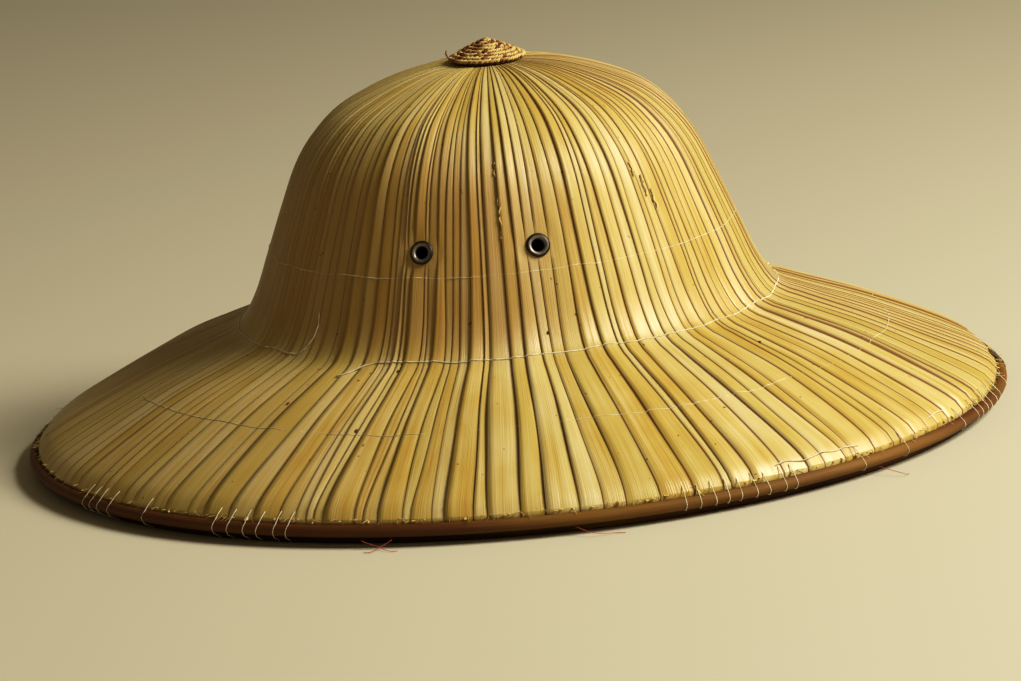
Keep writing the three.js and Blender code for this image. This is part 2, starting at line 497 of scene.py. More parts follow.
@dataclass(frozen=True)
class LeafFinish:
    """Dried palm leaf: satin straw gold with long veins, each strip its own tone, with painted
    shade in the creases and at the hat's front.
    """

    brown: Colour = (0.38, 0.190, 0.046)
    gold: Colour = (0.50, 0.350, 0.080)
    straw: Colour = (0.60, 0.474, 0.192)
    pale: Colour = (0.70, 0.606, 0.390)
    olive: Colour = (0.47, 0.380, 0.104)
    # Dark red-brown: the specks' own colour, and the painted shade in the creases between strips.
    gap: Colour = (0.15, 0.058, 0.009)
    roughness: float = 0.25
    bump_depth: float = 0.00022
    # How much a strip's own tone and its streaks, veins and patches lighten it.
    tone_light: float = 0.26
    streak_light: float = 0.5
    vein_light: float = 0.22
    patch_light: float = 0.42
    darkening: float = 0.18
    # The most that each mark covers, as a share: the olive tint and the specks are stains, the
    # front brim's browning and the creases' darkening are painted shade.
    olive_cover: float = 0.45
    front_brim_shade_cover: float = 0.18
    speck_cover: float = 0.8
    crease_shade_cover: float = 0.9
    # How much less the painted crease shade covers at the front of the hat.
    front_crease_shade: float = 0.35
    # Added to a strip's number to draw its second random number.
    second_draw: float = 517.0

    def material(self) -> bpy.types.Material:
        """The leaf's material, on a map whose U counts strips and whose V is metres.

        Returns:
            The finished material.
        """
        tree = FinishTree("palm_leaf")
        strip, run = tree.surface_place()
        whole = strip.math("FLOOR")
        across = strip.math("FRACT")
        tone = tree.scatter(whole)
        other = tree.scatter(whole + self.second_draw)
        streak = tree.noise(tree.vector(strip * 5.0, run * 14.0, whole * 3.7), detail=3.0)
        vein = tree.noise(tree.vector(strip * 26.0, run * 20.0, whole * 1.3), detail=2.0)
        patch = tree.noise(tree.vector(strip * 0.7, run * 34.0, 4.0), detail=2.0)
        light = tone * self.tone_light + streak * self.streak_light + vein * self.vein_light
        light = light + patch * self.patch_light - self.darkening
        colour = tree.colours(
            light, [(0.1, self.brown), (0.38, self.gold), (0.6, self.straw), (0.88, self.pale)]
        )
        colour = tree.blend(other.ramp(0.5, 1.0) * self.olive_cover, colour, self.olive)
        parts = tree.node("ShaderNodeSeparateXYZ", {}, {0: tree.object_place()})
        front, up = Signal(tree, parts.outputs[0]), Signal(tree, parts.outputs[2])
        # Painted shade: browner on the front of the crown, the side away from the key light.
        front_crown_shade = front.ramp(0.040, -0.010) * up.ramp(0.046, 0.062) * up.ramp(0.136, 0.106)
        colour = tree.blend(front_crown_shade * (0.25 + streak * 0.5), colour, self.brown)
        # Painted shade: browner on the front of the brim, the side away from the key light.
        front_brim_shade = front.ramp(-0.01, -0.11) * up.ramp(0.052, 0.040)
        colour = tree.blend(front_brim_shade * self.front_brim_shade_cover, colour, self.brown)
        speck = tree.noise(tree.object_place(), scale=390.0, detail=1.0).ramp(0.76, 0.80)
        colour = tree.blend(speck * self.speck_cover, colour, self.gap)
        # Painted shade in the creases where each strip dips under the next: under is the crease's
        # mask, which also roughens it.
        under = across.ramp(0.92, 0.955) * (1 - across.ramp(0.978, 0.996) * 0.8)
        cover = self.crease_shade_cover - front.ramp(0.02, -0.12) * self.front_crease_shade
        colour = tree.blend(under * cover, colour, self.gap)
        roughness = self.roughness + vein * 0.16 + other * 0.08 + under * 0.45
        return tree.finish(colour, roughness, vein * 0.7 + streak * 0.3, self.bump_depth)


@dataclass(frozen=True)
class BambooFinish:
    """Split bamboo: fibres along it, with darker stains, and painted shade towards the hat's
    front.
    """

    name: str
    dark: Colour
    light: Colour
    stain: float
    front_shade: float = 0.0
    roughness: float = 0.46
    shine: float = 0.28
    bump_depth: float = 0.00025

    def material(self) -> bpy.types.Material:
        """The hoop's material, on a map whose U is metres along it and V goes round it.

        Returns:
            The finished material.
        """
        tree = FinishTree(self.name)
        tree.put(tree.shader.inputs["Specular IOR Level"], self.shine)
        along, around = tree.surface_place()
        fibre = tree.noise(tree.vector(along * 30.0, around * 34.0, 0.0), detail=3.0)
        stain = tree.noise(tree.vector(along * 11.0, around * 0.8, 5.0), detail=3.0)
        parts = tree.node("ShaderNodeSeparateXYZ", {}, {0: tree.object_place()})
        # Painted shade: darker towards the hat's front, the side away from the key light.
        front = Signal(tree, parts.outputs[0]).ramp(0.03, -0.07) * self.front_shade
        light = (stain - self.stain) * 2.6 + fibre * 0.75 - front
        colour = tree.colours(light, [(0.1, self.dark), (0.85, self.light)])
        return tree.finish(colour, self.roughness + fibre * 0.2, fibre, self.bump_depth)


@dataclass(frozen=True)
class StrandFinish:
    """Thread, fibre or twisted strand: matte, with a twist along it."""

    name: str
    dark: Colour
    light: Colour
    roughness: float = 0.75
    bump_depth: float = 0.0001

    def material(self) -> bpy.types.Material:
        """The strand's material, varied by its place.

        Returns:
            The finished material.
        """
        tree = FinishTree(self.name)
        mottle = tree.noise(tree.object_place(), scale=420.0, detail=2.0)
        colour = tree.blend(mottle.ramp(0.3, 0.7), self.dark, self.light)
        return tree.finish(colour, self.roughness, mottle, self.bump_depth)


@dataclass(frozen=True)
class WovenFinish:
    """Wound strands, red-brown and straw: each loop has its own tone."""

    red_brown: Colour = (0.13, 0.040, 0.014)
    rust: Colour = (0.27, 0.11, 0.03)
    straw: Colour = (0.62, 0.46, 0.17)
    roughness: float = 0.7
    bump_depth: float = 0.0002

    def material(self) -> bpy.types.Material:
        """The button's material, on the attribute that numbers its loops.

        Returns:
            The finished material.
        """
        tree = FinishTree("woven_strands")
        tone = tree.value("ShaderNodeAttribute", {"attribute_name": "loop_tone"}, {}, "Fac")
        twist = tree.noise(tree.object_place(), scale=900.0, detail=2.0)
        light = tone + (twist - 0.5) * 0.5
        stops = [(0.15, self.red_brown), (0.5, self.rust), (0.85, self.straw)]
        return tree.finish(tree.colours(light, stops), self.roughness, twist, self.bump_depth)


@dataclass(frozen=True)
class MetalFinish:
    """Darkened metal that is worn lighter round the hole's lip, with painted light on the hole's
    inner wall.
    """

    dark: Colour = (0.045, 0.035, 0.028)
    # The lighter colour: the worn lip, and the painted light on the hole's inner wall.
    worn: Colour = (0.30, 0.265, 0.215)
    metallic: float = 0.85
    roughness: float = 0.34
    bump_depth: float = 0.00012

    def material(self) -> bpy.types.Material:
        """The eyelets' material, on the attribute that says how worn each place is and how much
        painted light the hole's inner wall has.

        Returns:
            The finished material.
        """
        tree = FinishTree("aged_metal")
        worn = tree.value("ShaderNodeAttribute", {"attribute_name": "wear"}, {}, "Fac")
        tarnish = tree.noise(tree.object_place(), scale=700.0, detail=3.0)
        share = worn * 0.85 + (tarnish - 0.5) * 0.5
        colour = tree.blend(share.ramp(0.1, 0.9), self.dark, self.worn)
        tree.put(tree.shader.inputs["Metallic"], self.metallic)
        return tree.finish(colour, self.roughness + tarnish * 0.25, tarnish, self.bump_depth)


@dataclass(frozen=True)
class FloorFinish:
    """A plain pale floor."""

    colour: Colour = (0.59, 0.55, 0.41)
    roughness: float = 0.9

    def material(self) -> bpy.types.Material:
        """The floor's material."""
        return FinishTree("pale_floor").finish(self.colour, self.roughness)


def wrapped_grid(
    columns: int,
    rows: int,
    place: Callable[[int, int], Vector],
    chart: Callable[[int, int], tuple[float, float]],
) -> bmesh.types.BMesh:
    """A grid whose points are put on a surface.

    Args:
        columns: faces one way.
        rows: faces the other way.
        place: the point at a column and row.
        chart: its UV.

    Returns:
        The mesh, its seams merged.
    """
    mesh = bmesh.new()
    bmesh.ops.create_grid(mesh, x_segments=columns, y_segments=rows, size=0.5)
    chart_layer = mesh.loops.layers.uv.new("UVMap")
    steps = {
        vert: (round((vert.co.x + 0.5) * columns), round((vert.co.y + 0.5) * rows))
        for vert in mesh.verts
    }
    for face in mesh.faces:
        face.smooth = True
        for loop in face.loops:
            loop[chart_layer].uv = chart(*steps[loop.vert])
    for vert, step in steps.items():
        vert.co = place(*step)
    bmesh.ops.remove_doubles(mesh, verts=mesh.verts, dist=1e-6)
    return mesh


def strand_tube(
    path: Sequence[Vector], radius: float, across: Vector, sides: int = 6, closed: bool = False
) -> bmesh.types.BMesh:
    """A round strand along a path.

    Args:
        path: the points of its centreline.
        radius: half its thickness.
        across: a direction that the path never runs along.
        sides: faces round it.
        closed: whether the path's end joins its start.

    Returns:
        The strand's mesh, with closed ends.
    """
    count = len(path)
    spans = count if closed else count - 1

    def frame(step: int) -> tuple[Vector, Vector, Vector]:
        """The centre and two directions across the strand at a step.

        Args:
            step: the step along the path.

        Returns:
            The three vectors.
        """
        here = path[step % count]
        ahead = path[(step + 1) % count] if closed else path[min(step + 1, count - 1)]
        behind = path[(step - 1) % count] if closed else path[max(step - 1, 0)]
        tangent = (ahead - behind).normalized()
        side = tangent.cross(across).normalized()
        return here, side, tangent.cross(side)

    frames = [frame(step) for step in range(spans + 1)]

    def place(step: int, turn: int) -> Vector:
        """A point on the strand.

        Args:
            step: the step along it.
            turn: the side round it.

        Returns:
            The point.
        """
        centre, side, over = frames[step]
        angle = FULL_TURN * turn / sides
        return centre + radius * (side * math.cos(angle) + over * math.sin(angle))

    mesh = wrapped_grid(spans, sides, place, lambda step, turn: (step / spans, turn / sides))
    if not closed:
        bmesh.ops.holes_fill(mesh, edges=mesh.edges, sides=sides)
    return mesh


def join_meshes(parts: Sequence[bmesh.types.BMesh]) -> bmesh.types.BMesh:
    """All the parts in one mesh.

    Args:
        parts: meshes, which are freed.

    Returns:
        The joined mesh.
    """
    joined = bmesh.new()
    for part in parts:
        carrier = bpy.data.meshes.new("carrier")
        part.to_mesh(carrier)
        part.free()
        joined.from_mesh(carrier)
        bpy.data.meshes.remove(carrier)
    return joined


def smooth_faces(mesh: bmesh.types.BMesh) -> None:
    """Shades every face smooth."""
    for face in mesh.faces:
        face.smooth = True


def spin_round(
    mesh: bmesh.types.BMesh,
    corners: Sequence[bmesh.types.BMVert],
    closed: bool,
    steps: int,
    merge: float,
) -> None:
    """Spins a section round the Z axis and points its faces out.

    Args:
        mesh: the mesh that holds the section's corners.
        corners: the corners in order.
        closed: whether the last corner joins the first.
        steps: faces in the full turn.
        merge: corners closer than this are one corner.
    """
    after = [*corners[1:], corners[0]] if closed else corners[1:]
    edges = [mesh.edges.new(pair) for pair in zip(corners, after)]
    bmesh.ops.spin(
        mesh,
        geom=[*corners, *edges],
        cent=(0, 0, 0),
        axis=(0, 0, 1),
        angle=FULL_TURN,
        steps=steps,
        use_merge=True,
    )
    bmesh.ops.remove_doubles(mesh, verts=mesh.verts, dist=merge)
    bmesh.ops.recalc_face_normals(mesh, faces=mesh.faces)


def stood_on(centre: Vector, outward: Vector) -> Matrix:
    """The placement that stands a thing on a point with its +Z outward."""
    return Matrix.Translation(centre) @ outward.to_track_quat("Z", "Y").to_matrix().to_4x4()


def in_scene(name: str, data: bpy.types.ID) -> bpy.types.Object:
    """A new object in the scene that shows a mesh, a light or a camera.

    Args:
        name: the object's name.
        data: what it shows.

    Returns:
        The object.
    """
    made = bpy.data.objects.new(name, data)
    bpy.context.scene.collection.objects.link(made)
    return made


def make_piece(
    name: str,
    mesh: bmesh.types.BMesh,
    material: bpy.types.Material,
    stands_for: Sequence[str] = (),
) -> bpy.types.Object:
    """A piece of the helmet that rides with its body.

    Args:
        name: the piece's name.
        mesh: its mesh, which is freed.
        material: its finish.
        stands_for: the solids that it replaces.

    Returns:
        The piece.
    """
    data = bpy.data.meshes.new(name)
    mesh.to_mesh(data)
    mesh.free()
    data.materials.append(material)
    piece = in_scene(name, data)
    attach(piece, BODY)
    if stands_for:
        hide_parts(*stands_for)
    log.info("%s: %d faces", name, len(data.polygons))
    return piece


@dataclass(frozen=True)
class EyeletPlace:
    """Where an eyelet is and which way it faces."""

    name: str
    centre: Vector
    outward: Vector


def eyelet_places(sizes: HelmetSizes, outline: LeafOutline) -> list[EyeletPlace]:
    """The four eyelets' places.

    Args:
        sizes: the helmet's sizes.
        outline: the leaf's outline.

    Returns:
        The places, left ones first.
    """
    row = outline.station(outline.run_at_height(sizes.eyelet_height))
    found = []
    for side_name, side in (("left", -1), ("right", 1)):
        for end_name, end in (("front", -1), ("rear", 1)):
            cos = (end * sizes.eyelet_spacing / 2 - sizes.eyelet_forward) / row.long
            sin = side * math.sqrt(1 - cos * cos)
            centre = Vector((row.long * cos, row.wide * sin, sizes.eyelet_height))
            level = Vector((cos / row.long, sin / row.wide, 0)).normalized() * row.out
            outward = Vector((level.x, level.y, row.rise)).normalized()
            found.append(EyeletPlace(f"eyelet_{side_name}_{end_name}", centre, outward))
    return found


@dataclass
class LeafCover:
    """The crown and brim: overlapped strips from the centre to the rim."""

    sizes: HelmetSizes
    outline: LeafOutline
    eyelets: list[EyeletPlace]
    strips: int = 138
    shares: tuple[float, ...] = (0.0, 0.24, 0.56, 0.86, 0.965)
    lifts: tuple[float, ...] = (1.0, 0.84, 0.56, 0.25, 0.0)
    relief: float = 0.0011
    swell: float = 0.0019
    width_swing: float = 0.62
    wander: float = 0.34
    row_step: float = 0.0042
    fine_step: float = 0.0011
    fine_reach: float = 0.0055
    inside_step: float = 0.0095
    hole: float = 0.0031
    hole_reach: float = 0.006
    flange_flat: float = 0.006
    # How much flatter the strips lie at the front of the hat, as a share.
    front_flat: float = 0.55
    # Most strips have a share of the relief in this range, and the rest stand higher.
    usual_relief: tuple[float, float] = (0.25, 1.0)
    usual_share: float = 0.8
    high_relief: float = 1.4
    # How much the relief changes along a strip.
    relief_swing: float = 0.8
    inside_relief: float = 0.0003
    seed: int = 41
    edges: list[float] = field(default_factory=list)
    reliefs: list[float] = field(default_factory=list)

    def __post_init__(self) -> None:
        """Gives each strip its width and relief."""
        dice = random.Random(self.seed)
        widths = [1 + self.width_swing * dice.uniform(-1, 1) for _ in range(self.strips)]
        total = sum(widths)
        angle = 0.0
        for width in widths:
            self.edges.append(angle)
            angle += FULL_TURN * width / total
            usual = dice.random() < self.usual_share
            self.reliefs.append(dice.uniform(*self.usual_relief) if usual else self.high_relief)

    def edge(self, strip: int, run: float) -> float:
        """The angle of a strip's raised edge, which wanders a little along the run.

        Args:
            strip: the strip's number.
            run: metres from the centre.

        Returns:
            Radians round the hat.
        """
        index = strip % self.strips
        turns = strip // self.strips
        sway = noise.noise(Vector((index * 5.17, run * 13.0, 2.0)))
        return self.edges[index] + FULL_TURN * (turns + self.wander * sway / self.strips)

    def lift_at(self, run: float, angle: float) -> tuple[int, float]:
        """The strip at a place and the share of its relief there.

        Args:
            run: metres from the centre.
            angle: radians round the hat.

        Returns:
            The strip's number and the share.
        """
        near = int(angle / FULL_TURN * self.strips)
        strip = next(
            strip
            for strip in range(near + self.strips // 8, near - self.strips // 8, -1)
            if self.edge(strip, run) <= angle
        )
        start, end = self.edge(strip, run), self.edge(strip + 1, run)
        share = (angle - start) / (end - start)
        knots = list(zip((*self.shares, 1.0), (*self.lifts, self.lifts[0])))
        for (low, first), (high, last) in zip(knots, knots[1:]):
            if share <= high:
                return strip, between(first, last, (share - low) / (high - low))
        return strip, self.lifts[0]

    def push(self, strip: int, lift: float, row: Station, angle: float) -> float:
        """How far the leaf's outside stands over its outline.

        Args:
            strip: the strip's number.
            lift: share of the strip's relief.
            row: the station.
            angle: the angle round the hat.

        Returns:
            Metres straight out.
        """
        index = strip % self.strips
        swell = 1 + self.relief_swing * noise.noise(Vector((index * 3.3, row.run * 17.0, 9.0)))
        height = self.relief * row.relief * self.reliefs[index] * swell * lift
        height *= 1 - self.front_flat * smooth_step(-math.cos(angle), 0.1, 0.9)
        point = row.at(angle)
        nearest = min((place.centre - point).length for place in self.eyelets)
        flange = self.sizes.eyelet_flange / 2
        height *= smooth_step(nearest, flange + 0.001, flange + self.flange_flat)
        return height + self.wave(row, angle)

    def wave(self, row: Station, angle: float) -> float:
        """The slow rise and fall of the brim between the stitched line and the rim.

        Args:
            row: the station.
            angle: the angle round the hat.

        Returns:
            Metres straight out.
        """
        foot = self.outline.run_at_height(self.sizes.crown_foot)
        share = (row.run - foot) / (self.outline.length - foot)
        if not 0 < share < 1:
            return 0.0
        around = Vector((math.cos(angle) * 2.4, math.sin(angle) * 2.4, row.run * 8))
        return self.swell * math.sin(math.pi * share) * noise.noise(around)

    def point(self, strip: int, share: float, lift: float, row: Station, layer: Layer) -> Vector:
        """A point of the leaf.

        Args:
            strip: the strip's number.
            share: share of the strip's width from its raised edge.
            lift: share of its relief.
            row: the station.
            layer: which side of the leaf.

        Returns:
            The point.
        """
        angle = between(self.edge(strip, row.run), self.edge(strip + 1, row.run), share)
        if layer is Layer.LIP:
            return row.at(angle)
        push = self.push(strip, lift, row, angle)
        if layer is Layer.OUTSIDE:
            return row.at(angle, push)
        under = self.sizes.wall + self.inside_relief * lift * row.relief
        return row.at(angle, self.wave(row, angle) - under)

    def rows(self) -> list[tuple[Layer, Station]]:
        """The rows of the mesh from the centre, over the outside and back up the inside.

        Returns:
            The layer and station of each.
        """
        fine_from = self.outline.run_at_height(self.sizes.eyelet_height + self.fine_reach)
        fine_to = self.outline.run_at_height(self.sizes.eyelet_height - self.fine_reach)
        runs = []
        run = 0.0
        while run < self.outline.length:
            runs.append(run)
            run += self.fine_step if fine_from < run < fine_to else self.row_step
        outside = [*runs, self.outline.length]
        found = [(Layer.OUTSIDE, self.outline.station(run)) for run in outside]
        rim = self.outline.stations[-1]
        inner = {"long": rim.long - self.sizes.lip_wall, "wide": rim.wide - self.sizes.lip_wall}
        foot = self.sizes.lip_foot
        found.append((Layer.LIP, Station(rim.long, rim.wide, foot, run=rim.run)))
        found.append((Layer.LIP, Station(**inner, up=foot, run=rim.run)))
        last = -1.0
        inside = []
        for run in runs[:-1]:
            if run - last >= self.inside_step or fine_from < run < fine_to or run == 0.0:
                inside.append((Layer.INSIDE, self.outline.station(run)))
                last = run
        return [*found, *reversed(inside)]

    def build(self) -> bmesh.types.BMesh:
        """The leaf's mesh, with a hole for each eyelet.

        Returns:
            The mesh.
        """
        rows = self.rows()
        count = len(self.shares)
        wall = self.sizes.wall

        def place(column: int, level: int) -> Vector:
            """A point of the grid.

            Args:
                column: its column.
                level: its row.

            Returns:
                The point.
            """
            strip, part = divmod(column, count)
            layer, row = rows[level]
            if row.run == 0.0 and layer is not Layer.LIP:
                return Vector((0, 0, row.up - (wall if layer is Layer.INSIDE else 0)))
            return self.point(strip, self.shares[part], self.lifts[part], row, layer)

        def chart(column: int, level: int) -> tuple[float, float]:
            """Strips counted round the hat, and metres from the centre.

            Args:
                column: the grid's column.
                level: its row.

            Returns:
                The UV.
            """
            strip, part = divmod(column, count)
            layer, row = rows[level]
            inside = layer is Layer.INSIDE
            return strip + self.shares[part], row.run + (0.5 if inside else 0.0)

        mesh = wrapped_grid(self.strips * count, len(rows) - 1, place, chart)
        bmesh.ops.recalc_face_normals(mesh, faces=mesh.faces)
        cut = [face for face in mesh.faces if self.in_hole(face.calc_center_median())]
        bmesh.ops.delete(mesh, geom=cut, context="FACES")
        return mesh

    def in_hole(self, point: Vector) -> bool:
        """Whether a point is where an eyelet goes through the leaf.

        Args:
            point: the point.

        Returns:
            True in a hole.
        """
        for place in self.eyelets:
            gap = point - place.centre
            along = gap.dot(place.outward)
            aside = (gap - along * place.outward).length
            if abs(along) < self.hole_reach and aside < self.hole:
                return True
        return False


@dataclass
class RimHoops:
    """The bamboo hoop outside the leaf's edge and the darker one inside it."""

    sizes: HelmetSizes
    steps: int = 240
    joint: float = 0.0024
    under_thick: float = 0.0034
    under_high: float = 0.0105
    gap: float = 0.0003
    # How much further out the outer hoop's flat side lies, and how far its corners are cut.
    seat: float = 0.00015
    edge_round: float = 0.0004
    # The bends of the outer hoop's rounded side, in degrees.
    bends: tuple[int, ...] = (-72, -54, -36, -18, 0, 18, 36, 54, 72)
    # How far the under hoop's corners are cut, and the two heights of its outer top corner.
    corner: float = 0.0006
    outer_shoulder: float = 0.0062
    outer_top: float = 0.0070

    def at(self, angle: float, push: float, up: float) -> Vector:
        """A point at an angle, a push out from the leaf's edge and a height."""
        long, wide = self.sizes.edge_long + push, self.sizes.edge_wide + push
        return Vector((long * math.cos(angle), wide * math.sin(angle), up))

    def outer_section(self, angle: float) -> list[tuple[float, float]]:
        """The outer hoop's outline at an angle: rounded outside, flat against the leaf.

        Args:
            angle: radians round the hat.

        Returns:
            Pushes and heights.
        """
        sizes = self.sizes
        half = sizes.hoop_tall / 2
        thin = 1 - 0.1 * (0.5 + 0.5 * noise.noise(Vector((angle * 5.0, 1.0, 0.0))))
        flat = self.gap + self.seat
        section = [(flat, sizes.hoop_foot + self.edge_round)]
        for turn in self.bends:
            bend = math.radians(turn)
            reach = flat + sizes.hoop_thick * thin * math.cos(bend) ** 0.8
            section.append((reach, sizes.hoop_foot + half + half * math.sin(bend)))
        section.append((flat, sizes.hoop_foot + sizes.hoop_tall - self.edge_round))
        return section

    def under_section(self, angle: float) -> list[tuple[float, float]]:
        """The under hoop's outline at an angle, flat underneath.

        Args:
            angle: radians round the hat.

        Returns:
            Pushes and heights.
        """
        outside = -(self.sizes.lip_wall + self.gap + 0.0004)
        inside = outside - self.under_thick
        soft = self.corner
        worn = 0.0002 * noise.noise(Vector((angle * 9.0, 4.0, 0.0)))
        return [
            (inside + soft, 0.0),
            (outside - soft, 0.0),
            (outside + worn, soft),
            (outside + worn, self.outer_shoulder),
            (outside - soft, self.outer_top),
            (inside + soft, self.under_high - 0.0022),
            (inside, self.under_high - 0.0030),
            (inside, soft),
        ]

    def sweep(
        self, section: Callable[[float], list[tuple[float, float]]], opening: float
    ) -> bmesh.types.BMesh:
        """A hoop with a section that may change along it.

        Args:
            section: the pushes and heights of its outline at an angle.
            opening: metres between its ends, or 0 where it closes.

        Returns:
            The hoop's mesh.
        """
        start = opening / self.sizes.hat_long
        sides = len(section(0.0))
        girth = math.pi * (self.sizes.hat_long + self.sizes.hat_wide) / 2

        def angle_of(step: int) -> float:
            """The angle of a step round the rim.

            Args:
                step: the step.

            Returns:
                Radians round the hat.
            """
            if not opening:
                step %= self.steps
            return start + (FULL_TURN - 2 * start) * step / self.steps

        def place(step: int, side: int) -> Vector:
            """A point of the hoop."""
            angle = angle_of(step)
            return self.at(angle, *section(angle)[side % sides])

        def chart(step: int, side: int) -> tuple[float, float]:
            """Metres along the hoop, and the share of the way round it."""
            return girth * step / self.steps, side / sides

        mesh = wrapped_grid(self.steps, sides, place, chart)
        if opening:
            bmesh.ops.holes_fill(mesh, edges=mesh.edges, sides=sides)
        bmesh.ops.recalc_face_normals(mesh, faces=mesh.faces)
        return mesh


@dataclass
class RimTies:
    """The threads that tie the hoops through the leaf."""

    sizes: HelmetSizes
    hoops: RimHoops
    thread: float = 0.00018
    # Where the ties are on the left side, as shares of the hat's half-length.
    places: tuple[float, ...] = (
        -0.86, -0.845, -0.83, -0.807, -0.735, -0.594, -0.565, -0.535, -0.508, -0.476, -0.451,
        0.30, 0.327, 0.355, 0.382, 0.406, 0.435, 0.459, 0.492, 0.514, 0.65, 0.742,
        0.868, 0.902, 0.914, 0.927, 0.937, 0.951, 0.963, 0.985,
    )
    # Pushes out from the leaf's edge where a tie passes through it.
    through: tuple[float, ...] = (0.0012, -0.0012, -0.0040)
    # The ties further forward than this go round both hoops.
    low_before: float = -0.4
    joint_turns: int = 10
    joint_spread: float = 0.034
    joint_strand: float = 0.00038
    seed: int = 7
    joint_seed: int = 23
    # How far a right tie is from its left partner, and the largest share that a tie has.
    right_shift: float = 0.03
    last_share: float = 0.995
    # Leans, in radians round the hat: any tie's, what a low tie adds, and a joint turn's.
    tie_lean: float = 0.004
    low_lean: float = 0.009
    joint_lean: float = 0.006

    def loop(self, angle: float, lean: float, thread: float, low: bool) -> bmesh.types.BMesh:
        """One tie round the outer hoop and through the leaf and the under hoop.

        Args:
            angle: where it is round the rim.
            lean: how far its foot is from its head, as an angle.
            thread: half the thread's thickness.
            low: whether it goes under the under hoop, not through it.

        Returns:
            The tie's mesh.
        """
        foot = self.sizes.hoop_foot
        over = foot + self.sizes.hoop_tall
        thick = self.sizes.hoop_thick
        inward = [(thick - 0.0009, foot + 0.0002), *((push, foot) for push in self.through)]
        if low:
            inward = [(thick - 0.0012, foot - 0.0003), (-0.0019, 0.0006), (-0.0040, 0.0009)]
        # Pushes out from the leaf's edge and heights: the head, down outside, then up inside.
        trail = [
            (-0.0016, over + 0.0036),
            (0.0005, over + 0.0020),
            (0.0020, over + 0.0003),
            (thick - 0.0001, over - 0.0014),
            (thick + 0.0004, over - 0.0028),
            (thick, foot + 0.0014),
            *inward,
            (-0.0056, 0.0030),
            (-0.0058, 0.0060),
            (-0.0036, 0.0093),
        ]
        high = over + 0.001
        path = [self.hoops.at(angle + lean * (1 - up / high), push, up) for push, up in trail]
        tangent = Vector((-math.sin(angle), math.cos(angle), 0))
        return strand_tube(path, thread, tangent, 5, closed=True)

    def build(self) -> bmesh.types.BMesh:
        """All the ties, on both sides of the hat.

        Returns:
            Their mesh.
        """
        dice = random.Random(self.seed)
        parts = []
        for side in (-1, 1):
            for share in self.places:
                moved = share
                if side > 0:
                    moved = -share + dice.uniform(-self.right_shift, self.right_shift)
                angle = side * math.acos(max(min(moved, self.last_share), -self.last_share))
                low = moved < self.low_before
                lean = dice.uniform(-self.tie_lean, self.tie_lean)
                lean += side * self.low_lean if low else 0.0
                parts.append(self.loop(angle, lean, self.thread, low))
        return join_meshes(parts)

    def binding(self) -> bmesh.types.BMesh:
        """The turns that bind the outer hoop's two ends at the back.

        Returns:
            Their mesh.
        """
        dice = random.Random(self.joint_seed)
        parts = []
        for turn in range(self.joint_turns):
            angle = self.joint_spread * (turn / (self.joint_turns - 1) - 0.5)
            lean = dice.uniform(-self.joint_lean, self.joint_lean)
            parts.append(self.loop(angle, lean, self.joint_strand, False))
        return join_meshes(parts)


